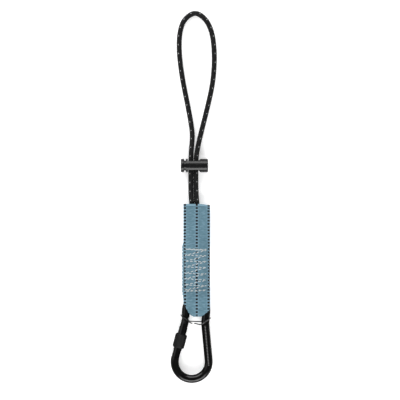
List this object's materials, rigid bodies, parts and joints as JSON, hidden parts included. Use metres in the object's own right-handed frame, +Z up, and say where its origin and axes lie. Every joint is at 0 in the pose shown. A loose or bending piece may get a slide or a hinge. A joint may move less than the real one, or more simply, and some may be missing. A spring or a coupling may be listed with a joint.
{
  "type": "tool tether",
  "caption": "Flat webbing tether with a screw-lock carabiner on one end and a round cord loop with a sliding barrel lock on the other, for leashing a hand tool.",
  "frame": {"origin": "on the surface it lies on, under the middle of the strap and carabiner together", "axes": "+Y from the carabiner towards the top of the cord loop, +X to the right seen from above, +Z up from the surface"},
  "size_m": [0.0446, 0.3596, 0.0133],
  "materials": {
    "webbing": "woven nylon webbing, matte, grey-blue with dark tracer threads",
    "stitching": "pale bonded thread",
    "cord": "braided black sheath with reflective flecks",
    "lock_plastic": "glossy black moulded plastic",
    "spring_steel": "bright spring wire",
    "black_alloy": "satin black anodised",
    "knurled_alloy": "matte black, knurled",
    "dark_wire": "blackened spring wire"
  },
  "bodies": {
    "strap": {"webbing_strap": "webbing", "zigzag_stitching": "stitching", "cord_loop": "cord", "cord_tail_left": "cord", "cord_tail_right": "cord"},
    "lock": {"lock_barrel": "lock_plastic", "lock_spring": "spring_steel"},
    "lock_button": {"lock_plunger": "lock_plastic"},
    "carabiner": {"carabiner_frame": "black_alloy", "hinge_rivet": "black_alloy", "wire_keeper": "dark_wire"},
    "gate": {"gate": "black_alloy", "gate_plunger": "spring_steel", "gate_spring": "spring_steel", "latch_pin": "black_alloy"},
    "sleeve": {"screw_sleeve": "knurled_alloy"}
  },
  "joints": [
    {"name": "carabiner_swing", "type": "hinge", "parent": "strap", "child": "carabiner", "pos_m": [0.00465, -0.0005, 0.0075], "axis": [-1, 0, 0], "range_deg": [0, 70], "deforming": ["webbing_strap"]},
    {"name": "gate_hinge", "type": "hinge", "parent": "carabiner", "child": "gate", "pos_m": [-0.00645, -0.02739, 0.00575], "axis": [0, 0, 1], "range_deg": [0, 26], "stiffness_Nm_per_rad": 0.4, "springref_deg": -17.19},
    {"name": "sleeve_travel", "type": "slide", "parent": "gate", "child": "sleeve", "axis": [-0.2629, -0.9648, 0], "range_m": [0, 0.012]},
    {"name": "lock_slide", "type": "slide", "parent": "strap", "child": "lock", "axis": [0, -1, 0], "range_m": [0, 0.018]},
    {"name": "lock_button_press", "type": "slide", "parent": "lock", "child": "lock_button", "axis": [1, 0, 0], "range_m": [0, 0.0015], "stiffness_N_per_m": 1500, "springref_m": -0.001, "deforming": ["lock_spring"]}
  ]
}
